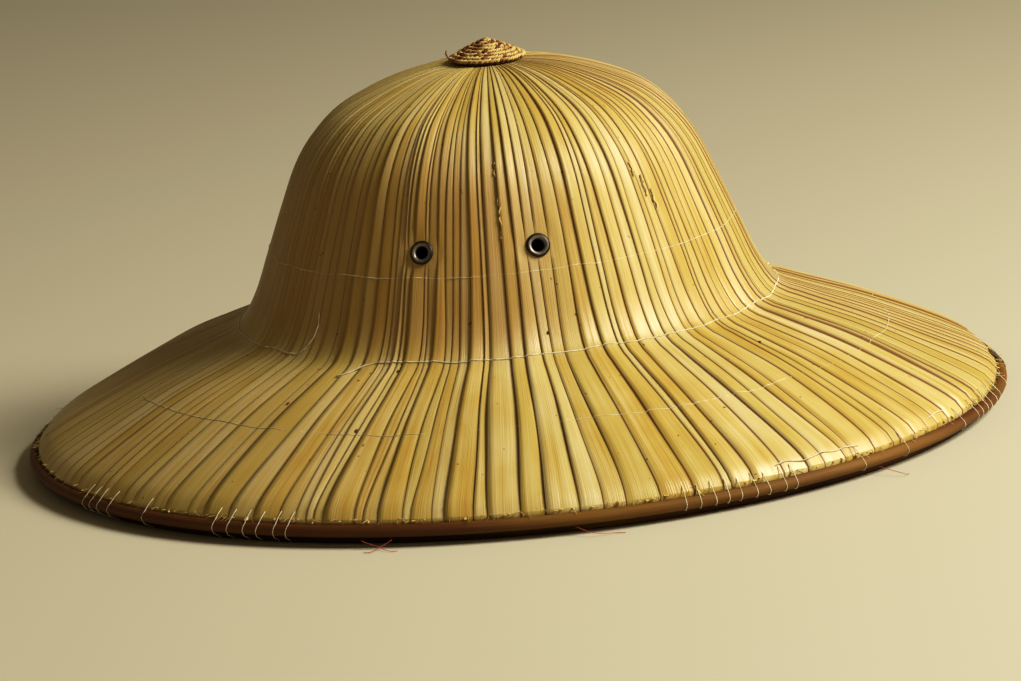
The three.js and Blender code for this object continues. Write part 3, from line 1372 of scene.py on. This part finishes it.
@dataclass
class StitchRings:
    """The threads that are sewn round the crown and the brim."""

    sizes: HelmetSizes
    outline: LeafOutline
    leaf: LeafCover
    thread: float = 0.00024
    mid_crown_height: float = 0.0795
    brim_height: float = 0.0325
    rim_height: float = 0.0124
    # The stretches of stitching that show along the rim, in radians round the hat.
    rim_stretches: tuple[tuple[float, float], ...] = (
        (5.215, 5.444), (5.66, 5.74), (0.75, 0.95), (2.2, 2.5),
    )
    # Where the junction's thread is broken, in radians round the hat.
    break_from: float = 3.84
    break_to: float = 4.20
    # A rim stitch: its length round the hat, how far it strays and how deep its ends go.
    stitch_step: float = 0.012
    stitch_stray: float = 0.0013
    stitch_deep: float = 0.0010
    # The junction thread's loose ends: radians round the hat, and metres towards the rim.
    up_end: tuple[tuple[float, float], ...] = (
        (3.862, -0.003), (3.885, -0.008), (3.893, -0.013), (3.878, -0.018),
    )
    down_end: tuple[tuple[float, float], ...] = (
        (4.095, 0.0105), (4.115, 0.0095), (4.14, 0.0065), (4.17, 0.0025),
    )

    def heights(self) -> dict[str, tuple[float, float, float, float]]:
        """The height, thickness, unevenness and sink of each ring.

        Returns:
            The four sizes by the ring's name.
        """
        return {
            "junction": (self.sizes.crown_foot, self.thread * 1.2, 0.0011, 0.0),
            "mid_crown": (self.mid_crown_height, self.thread * 0.7, 0.0008, 0.00022),
            "brim": (self.brim_height, self.thread * 0.6, 0.0012, 0.00026),
        }

    def on_leaf(self, run: float, angle: float, over: float) -> Vector:
        """A point on the strips' outside.

        Args:
            run: metres from the centre.
            angle: radians round the hat.
            over: metres over the leaf.

        Returns:
            The point.
        """
        row = self.outline.station(run)
        strip, lift = self.leaf.lift_at(run, angle)
        return row.at(angle, self.leaf.push(strip, lift, row, angle) + over)

    def ring(
        self, height: float, thread: float, uneven: float, sink: float, seed: float
    ) -> bmesh.types.BMesh:
        """One sewn ring.

        Args:
            height: over the table.
            thread: half its thickness.
            uneven: how far it strays along the strips.
            sink: how deep it dips into the leaf in places.
            seed: its place in the noise.

        Returns:
            The ring's mesh.
        """
        run = self.outline.run_at_height(height)
        broken = height == self.sizes.crown_foot
        path, ends = [], []
        for strip in range(self.leaf.strips):
            for share in (0.03, 0.35, 0.68, 0.93):
                angle = between(self.leaf.edge(strip, run), self.leaf.edge(strip + 1, run), share)
                if broken and self.break_from < angle < self.break_to:
                    continue
                about = Vector((math.cos(angle) * 5, math.sin(angle) * 5, seed))
                deep = sink * smooth_step(noise.noise(about * 0.9), -0.10, 0.02)
                here = run + uneven * noise.noise(about * 1.5)
                point = self.on_leaf(here, angle, thread * 0.55 - deep)
                (ends if broken and angle <= self.break_from else path).append(point)
        if not broken:
            return strand_tube(path, thread, UPRIGHT, 5, closed=True)
        tails = [
            [self.on_leaf(run + step, angle, thread) for angle, step in tail]
            for tail in (self.down_end, self.up_end)
        ]
        return strand_tube([*tails[0], *path, *ends, *tails[1]], thread, Vector((0, 0.2, 1)), 5)

    def stretch(self, start: float, end: float) -> bmesh.types.BMesh:
        """A stretch of stitching along the rim, with both its ends in the leaf.

        Args:
            start: radians round the hat.
            end: the same.

        Returns:
            Its mesh.
        """
        run = self.outline.run_at_height(self.rim_height)
        steps = round((end - start) / self.stitch_step)
        path = []
        for step in range(steps + 1):
            share = step / steps
            angle = between(start, end, share)
            up = 0.0002 + 0.0002 * noise.noise(Vector((angle * 60, 0.0, 8.0)))
            over = up if 0 < step < steps else -self.stitch_deep
            stray = self.stitch_stray * noise.noise(Vector((angle * 22, 5.0, 1.0)))
            path.append(self.on_leaf(run + stray, angle, over))
        return strand_tube(path, self.thread, UPRIGHT, 5)

    def build(self) -> bmesh.types.BMesh:
        """All the rings and the stretches along the rim."""
        rings = [self.ring(*sizes, seed) for seed, sizes in enumerate(self.heights().values())]
        return join_meshes([*rings, *(self.stretch(*ends) for ends in self.rim_stretches)])


@dataclass
class FrayedRim:
    """The cut ends of the strips that stand out over the outer hoop."""

    sizes: HelmetSizes
    hoops: RimHoops
    bits: int = 200
    hairs: int = 520
    bit_length: tuple[float, float] = (0.0010, 0.0026)
    bit_width: tuple[float, float] = (0.0004, 0.0014)
    bit_thick: float = 0.00010
    bit_turn: float = 0.35
    hair_length: tuple[float, float] = (0.0018, 0.0056)
    hair_thread: float = 0.00009
    hair_turn: float = 0.9
    hair_bend: float = 0.35
    # A root's height over the outer hoop, its push out from the leaf's edge and its tilt.
    root_over: tuple[float, float] = (0.0008, 0.0018)
    root_push: tuple[float, float] = (-0.0012, 0.0002)
    root_tilt: tuple[float, float] = (0.0, 0.5)
    seed: int = 19

    def bit(self, dice: random.Random) -> bmesh.types.BMesh:
        """One flat end of a strip.

        Args:
            dice: the random numbers.

        Returns:
            Its mesh.
        """
        mesh = bmesh.new()
        bmesh.ops.create_cube(mesh, size=1.0)
        length = dice.uniform(*self.bit_length)
        size = Vector((length, dice.uniform(*self.bit_width), self.bit_thick))
        bmesh.ops.scale(mesh, vec=size, verts=mesh.verts)
        return self.settle(mesh, dice, length, dice.gauss(0, self.bit_turn))

    def hair(self, dice: random.Random) -> bmesh.types.BMesh:
        """One loose fibre.

        Args:
            dice: the random numbers.

        Returns:
            Its mesh.
        """
        length = dice.uniform(*self.hair_length)
        bend = dice.uniform(-self.hair_bend, self.hair_bend) * length
        path = [
            Vector((length * (share - 0.5), bend * share * share, bend * 0.6 * share))
            for share in (0, 0.33, 0.66, 1)
        ]
        mesh = strand_tube(path, self.hair_thread, UPRIGHT, 3)
        return self.settle(mesh, dice, length, dice.gauss(0, self.hair_turn))

    def settle(
        self, mesh: bmesh.types.BMesh, dice: random.Random, length: float, turn: float
    ) -> bmesh.types.BMesh:
        """Puts a bit at the rim with its root in the leaf's edge.

        Args:
            mesh: the bit, along +X about the origin.
            dice: the random numbers.
            length: its length.
            turn: how far it turns aside.

        Returns:
            The same mesh in place.
        """
        angle = dice.uniform(0, FULL_TURN)
        ahead = math.cos(angle) * self.sizes.hat_wide
        outward = math.atan2(math.sin(angle) * self.sizes.hat_long, ahead)
        high = self.sizes.hoop_foot + self.sizes.hoop_tall + dice.uniform(*self.root_over)
        root = self.hoops.at(angle, dice.uniform(*self.root_push), high)
        tilt = dice.uniform(*self.root_tilt)
        place = (
            Matrix.Translation(root)
            @ Matrix.Rotation(outward + turn, 4, "Z")
            @ Matrix.Rotation(tilt, 4, "Y")
            @ Matrix.Translation(Vector((length * 0.35, 0, 0)))
        )
        bmesh.ops.transform(mesh, matrix=place, verts=mesh.verts)
        return mesh

    def build(self) -> bmesh.types.BMesh:
        """All the bits and fibres.

        Returns:
            Their mesh.
        """
        dice = random.Random(self.seed)
        bits = [self.bit(dice) for _ in range(self.bits)]
        return join_meshes([*bits, *(self.hair(dice) for _ in range(self.hairs))])


@dataclass
class LeafBlemishes:
    """Torn edges and brown specks on the strips, and red hairs caught at the rim."""

    sizes: HelmetSizes
    outline: LeafOutline
    leaf: LeafCover
    hoops: RimHoops
    # Torn edges: radians round the hat, and heights of the top and foot.
    torn: tuple[tuple[float, float, float], ...] = (
        (4.700, 0.119, 0.114),
        (4.708, 0.107, 0.092),
        (5.405, 0.112, 0.107),
        (5.440, 0.107, 0.099),
        (5.470, 0.101, 0.094),
        (1.900, 0.110, 0.101),
    )
    # Specks: radians round the hat, metres beyond the junction and half the length.
    specks: tuple[tuple[float, float, float], ...] = (
        (4.31, 0.0050, 0.0008),
        (4.29, 0.0440, 0.0010),
        (4.564, -0.0035, 0.0008),
        (4.85, -0.0090, 0.0007),
        (4.97, -0.0150, 0.0005),
        (4.02, 0.0300, 0.0007),
        (5.55, 0.0210, 0.0006),
        (1.20, 0.0250, 0.0008),
        (2.30, -0.0200, 0.0007),
    )
    # Hairs: radians round the hat, radians to its end, and how far out its end lies.
    hairs: tuple[tuple[float, float, float], ...] = (
        (5.462, 0.030, 0.0098),
        (4.395, 0.075, 0.0042),
        (4.455, -0.048, 0.0058),
        (4.800, 0.090, 0.0046),
    )
    # A tear's fibre: half its thickness, its steps, how far they stray and how high they stand.
    tear_thread: float = 0.00034
    tear_steps: int = 12
    tear_stray: float = 0.0055
    tear_over: float = 0.0004
    tear_rise: float = 0.0005
    seed: int = 5
    speck_thick: float = 0.0003
    speck_over: float = 0.0002
    hair_thread: float = 0.00012
    hair_steps: int = 14

    def torn_edges(self) -> bmesh.types.BMesh:
        """The ragged fibres where strips are torn.

        Returns:
            Their mesh.
        """
        dice = random.Random(self.seed)
        parts = []
        for angle, top, foot in self.torn:
            path = []
            for step in range(self.tear_steps):
                share = step / (self.tear_steps - 1)
                row = self.outline.station(self.outline.run_at_height(between(top, foot, share)))
                aside = dice.uniform(-self.tear_stray, self.tear_stray)
                over = self.tear_over + dice.uniform(0, self.tear_rise)
                path.append(row.at(angle + aside, over))
            parts.append(strand_tube(path, self.tear_thread, Vector((0.3, 0.2, 1)), 5))
        return join_meshes(parts)

    def brown_specks(self) -> bmesh.types.BMesh:
        """The small brown scars.

        Returns:
            Their mesh.
        """
        parts = []
        junction = self.outline.run_at_height(self.sizes.crown_foot)
        for angle, beyond, half in self.specks:
            mesh = bmesh.new()
            bmesh.ops.create_icosphere(mesh, subdivisions=2, radius=1.0)
            row = self.outline.station(junction + beyond)
            outward = Vector((math.cos(angle) * row.out, math.sin(angle) * row.out, row.rise))
            scale = Matrix.Diagonal(Vector((half * 0.7, half, self.speck_thick, 1)))
            centre = row.at(angle, self.leaf.push(0, 0.5, row, angle) + self.speck_over)
            place = stood_on(centre, outward) @ scale
            bmesh.ops.transform(mesh, matrix=place, verts=mesh.verts)
            parts.append(mesh)
        return join_meshes(parts)

    def red_hairs(self) -> bmesh.types.BMesh:
        """The fine hairs that lie out from the rim on the table.

        Returns:
            Their mesh.
        """
        parts = []
        for angle, turn, reach in self.hairs:
            path = []
            for step in range(self.hair_steps + 1):
                share = step / self.hair_steps
                out = self.sizes.hoop_thick + reach * math.sin(share * math.pi * 0.62)
                sway = 0.0012 * math.sin(share * 7 + angle * 9)
                up = 0.0030 * (1 - share) ** 2 + 0.0003
                path.append(self.hoops.at(angle + turn * share, out + sway, up))
            parts.append(strand_tube(path, self.hair_thread, UPRIGHT, 4))
        return join_meshes(parts)


@dataclass
class WovenButton:
    """The button at the top: rows of wound loops on a low cone."""

    sizes: HelmetSizes
    outline: LeafOutline
    radius: float = 0.015
    rise: float = 0.0080
    rows: int = 8
    pitch: float = 0.0021
    loop_size: tuple[float, float, float] = (0.00165, 0.00068, 0.00072)
    # How high the cone's border stands over the leaf.
    border: float = 0.0018
    # How deep the cone lies under the loops' middles, and its faces in a full turn.
    core_depth: float = 0.0009
    core_steps: int = 40
    # The outer rows are paler than the inner ones: how many, and both tones.
    pale_rows: int = 3
    pale_tone: float = 0.86
    inner_tone: float = 0.64
    tone_spread: float = 0.28
    # How much paler the loops are at the hat's back, and how far each is out of place.
    rear_tone: float = 0.18
    loop_turn: float = 0.01
    loop_shift: float = 0.0002
    # How far a loop's first and second half turn from the way round, in radians.
    leans: tuple[float, float] = (0.35, 0.75)
    stray_thread: float = 0.0004
    seed: int = 3

    def height(self, radius: float) -> float:
        """The cone's height at a radius.

        Args:
            radius: metres from the centre.

        Returns:
            Metres over the table.
        """
        border = self.outline.station(self.radius).up + self.border
        share = min(radius / self.radius, 1.0)
        peak = self.sizes.crown_top + self.rise
        return between(peak, border, share**1.2)

    def core(self) -> bmesh.types.BMesh:
        """The cone under the loops, closed underneath.

        Returns:
            Its mesh.
        """
        mesh = bmesh.new()
        profile = [(0.0, self.height(0.0) - self.core_depth)]
        for share in (0.25, 0.5, 0.75, 0.93):
            reach = self.radius * share
            profile.append((reach, self.height(reach) - self.core_depth))
        edge = self.outline.station(self.radius * 0.95).up
        profile += [(self.radius * 0.95, edge + 0.0007), (0.0, self.sizes.crown_top + 0.0006)]
        corners = [mesh.verts.new((reach, 0, up)) for reach, up in profile]
        spin_round(mesh, corners, False, self.core_steps, 1e-5)
        return mesh

    def loop(self, radius: float, angle: float, lean: float, tone: float) -> bmesh.types.BMesh:
        """One half of a wound loop.

        Args:
            radius: its distance from the centre.
            angle: where it is round the button.
            lean: how far it turns from the way round.
            tone: its colour, from 0 to 1.

        Returns:
            Its mesh.
        """
        mesh = bmesh.new()
        bmesh.ops.create_icosphere(mesh, subdivisions=1, radius=1.0)
        bmesh.ops.scale(mesh, vec=Vector(self.loop_size), verts=mesh.verts)
        step = 0.0005
        slope = math.atan2(self.height(radius) - self.height(radius + step), step)
        place = (
            Matrix.Rotation(angle, 4, "Z")
            @ Matrix.Translation(Vector((radius, 0, self.height(radius))))
            @ Matrix.Rotation(slope, 4, "Y")
            @ Matrix.Rotation(math.pi / 2 + lean, 4, "Z")
        )
        bmesh.ops.transform(mesh, matrix=place, verts=mesh.verts)
        layer = mesh.verts.layers.float.new("loop_tone")
        for vert in mesh.verts:
            vert[layer] = tone
        smooth_faces(mesh)
        return mesh

    def build(self) -> bmesh.types.BMesh:
        """The cone and all its loops.

        Returns:
            The button's mesh.
        """
        dice = random.Random(self.seed)
        parts = [self.core()]
        for row in range(self.rows):
            radius = self.radius * (1 - (row + 0.35) / self.rows)
            count = max(3, round(FULL_TURN * radius / self.pitch))
            bias = self.pale_tone if row < self.pale_rows else self.inner_tone
            for step in range(count):
                rearward = self.rear_tone * math.cos(FULL_TURN * step / count)
                tone = min(max(dice.gauss(bias + rearward, self.tone_spread), 0.0), 1.0)
                for half, lean in zip((0.0, 0.5), self.leans):
                    aside = dice.uniform(-self.loop_turn, self.loop_turn)
                    angle = FULL_TURN * (step + half) / count + aside
                    jitter = dice.uniform(-self.loop_shift, self.loop_shift)
                    parts.append(self.loop(radius + jitter, angle, lean, tone))
        return join_meshes(parts)

    def stray_end(self) -> bmesh.types.BMesh:
        """The loose end of the strand at the button's front.

        Returns:
            Its mesh.
        """
        top = self.height(self.radius)
        path = [
            Vector((-self.radius * reach, -0.003 + 0.001 * reach, top + up))
            for reach, up in ((0.9, 0.0004), (1.02, 0.0012), (1.06, 0.0026), (1.03, 0.0038))
        ]
        return strand_tube(path, self.stray_thread, Vector((0, 1, 0)), 5)


@dataclass
class VentEyelets:
    """The rolled metal eyelets in the crown."""

    sizes: HelmetSizes
    steps: int = 36

    def profile(self) -> list[tuple[float, float, float]]:
        """The eyelet's section: radius, height over the leaf and how light it is, from wear at the
        lip and from painted light on the hole's inner wall.

        Returns:
            Its corners in order.
        """
        flange, bore = self.sizes.eyelet_flange / 2, self.sizes.eyelet_bore / 2
        middle = (flange + bore) / 2
        return [
            # The hole's inner wall: its lightness here is painted light, not wear.
            (bore + 0.0001, -0.0026, 0.3),
            (bore, -0.0004, 0.6),
            (bore + 0.0001, 0.0004, 1.0),
            (bore + 0.0005, 0.0008, 1.0),
            (middle, 0.0011, 0.75),
            (flange - 0.0005, 0.0009, 0.2),
            (flange, 0.0004, 0.1),
            (flange - 0.0001, 0.00015, 0.0),
            (bore + 0.0005, 0.00015, 0.0),
            (bore + 0.0005, -0.0024, 0.0),
            (middle, -0.0024, 0.0),
            (middle, -0.0028, 0.0),
            (bore + 0.0001, -0.0029, 0.0),
        ]

    def build(self, place: EyeletPlace) -> bmesh.types.BMesh:
        """One eyelet.

        Args:
            place: where it goes.

        Returns:
            Its mesh.
        """
        mesh = bmesh.new()
        layer = mesh.verts.layers.float.new("wear")
        corners = []
        for reach, up, worn in self.profile():
            corner = mesh.verts.new((reach, 0, up))
            corner[layer] = worn
            corners.append(corner)
        spin_round(mesh, corners, True, self.steps, 1e-6)
        placed = stood_on(place.centre, place.outward)
        bmesh.ops.transform(mesh, matrix=placed, verts=mesh.verts)
        smooth_faces(mesh)
        return mesh


@dataclass(frozen=True)
class SoftLight:
    """A square soft light that faces the hat: its place, side, watts and colour."""

    name: str
    place: tuple[float, float, float]
    size: float
    power: float
    colour: Colour
    faced_height: float = 0.05

    def build(self) -> None:
        """Adds the light to the scene."""
        data = bpy.data.lights.new(self.name, "AREA")
        data.size = self.size
        data.energy = self.power
        data.color = self.colour
        light = in_scene(self.name, data)
        light.location = self.place
        facing = UPRIGHT * self.faced_height - Vector(self.place)
        light.rotation_euler = facing.to_track_quat("-Z", "Y").to_euler()


@dataclass
class Studio:
    """The floor, the lights, the picture's response and the camera."""

    lights: tuple[SoftLight, ...] = (
        SoftLight("key", (1.42, -0.46, 1.26), 0.8, 52.0, (1.0, 0.97, 0.90)),
        SoftLight("fill", (-0.6, -1.9, 0.9), 1.6, 1.0, (1.0, 0.78, 0.46)),
    )
    all_round: Colour = (1.0, 0.81, 0.50)
    all_round_strength: float = 0.16
    floor_size: float = 14.0
    elevation: float = 13.4
    roll: float = 5.0
    distance: float = 1.8
    focal_pixels: float = 4543.0
    picture_width: int = 1021
    aim: tuple[float, float, float] = (0.0, 0.0, 0.060)
    # Where the aimed point is in the picture, from its centre, in pixels to the right and up.
    aim_right: float = -4.5
    aim_up: float = 65.5
    # Linear light and the picture's answer to it, between 0 and 1.
    response: tuple[tuple[float, float], ...] = (
        (0.05, 0.026), (0.12, 0.078), (0.25, 0.200), (0.42, 0.400), (0.60, 0.615),
    )

    def build_floor(self) -> None:
        """The floor under the hat."""
        mesh = bmesh.new()
        bmesh.ops.create_grid(mesh, x_segments=1, y_segments=1, size=self.floor_size / 2)
        data = bpy.data.meshes.new("floor")
        mesh.to_mesh(data)
        mesh.free()
        data.materials.append(FloorFinish().material())
        in_scene("floor", data)

    def build_lights(self) -> None:
        """A strong light from the picture's right, a weak fill from its left, and all round."""
        for light in self.lights:
            light.build()
        world = bpy.data.worlds.new("studio")
        bpy.context.scene.world = world
        world.use_nodes = True
        background = world.node_tree.nodes["Background"]
        background.inputs["Color"].default_value = (*self.all_round, 1.0)
        background.inputs["Strength"].default_value = self.all_round_strength

    def build_response(self) -> None:
        """The camera's response: shadows a little darker and richer than they are."""
        view = bpy.context.scene.view_settings
        view.view_transform = "Standard"
        view.use_curve_mapping = True
        curve = view.curve_mapping.curves[3]
        for light, answer in self.response:
            curve.points.new(light, answer)
        view.curve_mapping.update()

    def build_camera(self) -> None:
        """The camera at the picture's angle to the hat."""
        rise, roll = math.radians(self.elevation), math.radians(self.roll)
        back = Vector((0, -math.cos(rise), math.sin(rise)))
        level = Vector((1, 0, 0))
        upright = back.cross(level)
        right = level * math.cos(roll) - upright * math.sin(roll)
        up = level * math.sin(roll) + upright * math.cos(roll)
        scale = self.distance / self.focal_pixels
        target = Vector(self.aim) - right * self.aim_right * scale - up * self.aim_up * scale
        data = bpy.data.cameras.new("camera")
        data.sensor_width = 36.0
        data.lens = data.sensor_width * self.focal_pixels / self.picture_width
        data.clip_start, data.clip_end = 0.05, 60.0
        camera = in_scene("camera", data)
        turn = Matrix((right, up, back)).transposed().to_4x4()
        camera.matrix_world = Matrix.Translation(target + back * self.distance) @ turn
        bpy.context.scene.camera = camera


def main() -> None:
    """Builds the helmet over its solids, and the studio round it."""
    logging.basicConfig(level=logging.INFO, format="%(message)s")
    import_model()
    sizes = HelmetSizes()
    outline = LeafOutline(sizes)
    eyelets = eyelet_places(sizes, outline)
    leaf = LeafCover(sizes, outline, eyelets)
    hoops = RimHoops(sizes)
    leaf_material = LeafFinish().material()
    strands = {colours[0]: StrandFinish(*colours).material() for colours in STRAND_COLOURS}
    woven_material = WovenFinish().material()
    make_piece("palm_leaf_strips", leaf.build(), leaf_material, ["leaf_cover"])
    pale = BambooFinish(
        "pale_bamboo", (0.120, 0.042, 0.008), (0.22, 0.108, 0.017), 0.42, front_shade=0.50
    )
    outer = hoops.sweep(hoops.outer_section, hoops.joint)
    make_piece("rim_hoop", outer, pale.material(), ["outer_hoop"])
    dark = BambooFinish(
        "dark_bamboo", (0.035, 0.014, 0.005), (0.20, 0.09, 0.02), 0.46, front_shade=0.55
    )
    under = hoops.sweep(hoops.under_section, 0.0)
    make_piece("resting_hoop", under, dark.material(), ["under_hoop"])
    ties = RimTies(sizes, hoops)
    make_piece("rim_ties", ties.build(), strands["pale_thread"])
    make_piece("joint_binding", ties.binding(), strands["dark_strand"])
    rings = StitchRings(sizes, outline, leaf)
    make_piece("stitch_rings", rings.build(), strands["pale_thread"])
    frayed = strands["frayed_leaf"]
    make_piece("frayed_rim", FrayedRim(sizes, hoops).build(), frayed)
    blemishes = LeafBlemishes(sizes, outline, leaf, hoops)
    make_piece("torn_edges", blemishes.torn_edges(), frayed)
    make_piece("brown_specks", blemishes.brown_specks(), strands["brown_scar"])
    make_piece("red_hairs", blemishes.red_hairs(), strands["red_hair"])
    button = WovenButton(sizes, outline)
    make_piece("woven_button", button.build(), woven_material, ["crown_button"])
    make_piece("stray_end", button.stray_end(), strands["stray_strand"])
    metal = MetalFinish().material()
    for place in eyelets:
        vent = VentEyelets(sizes).build(place)
        make_piece(f"vent_{place.name}", vent, metal, [place.name])
    studio = Studio()
    studio.build_floor()
    studio.build_lights()
    studio.build_response()
    studio.build_camera()


if __name__ == "__main__":
    main()
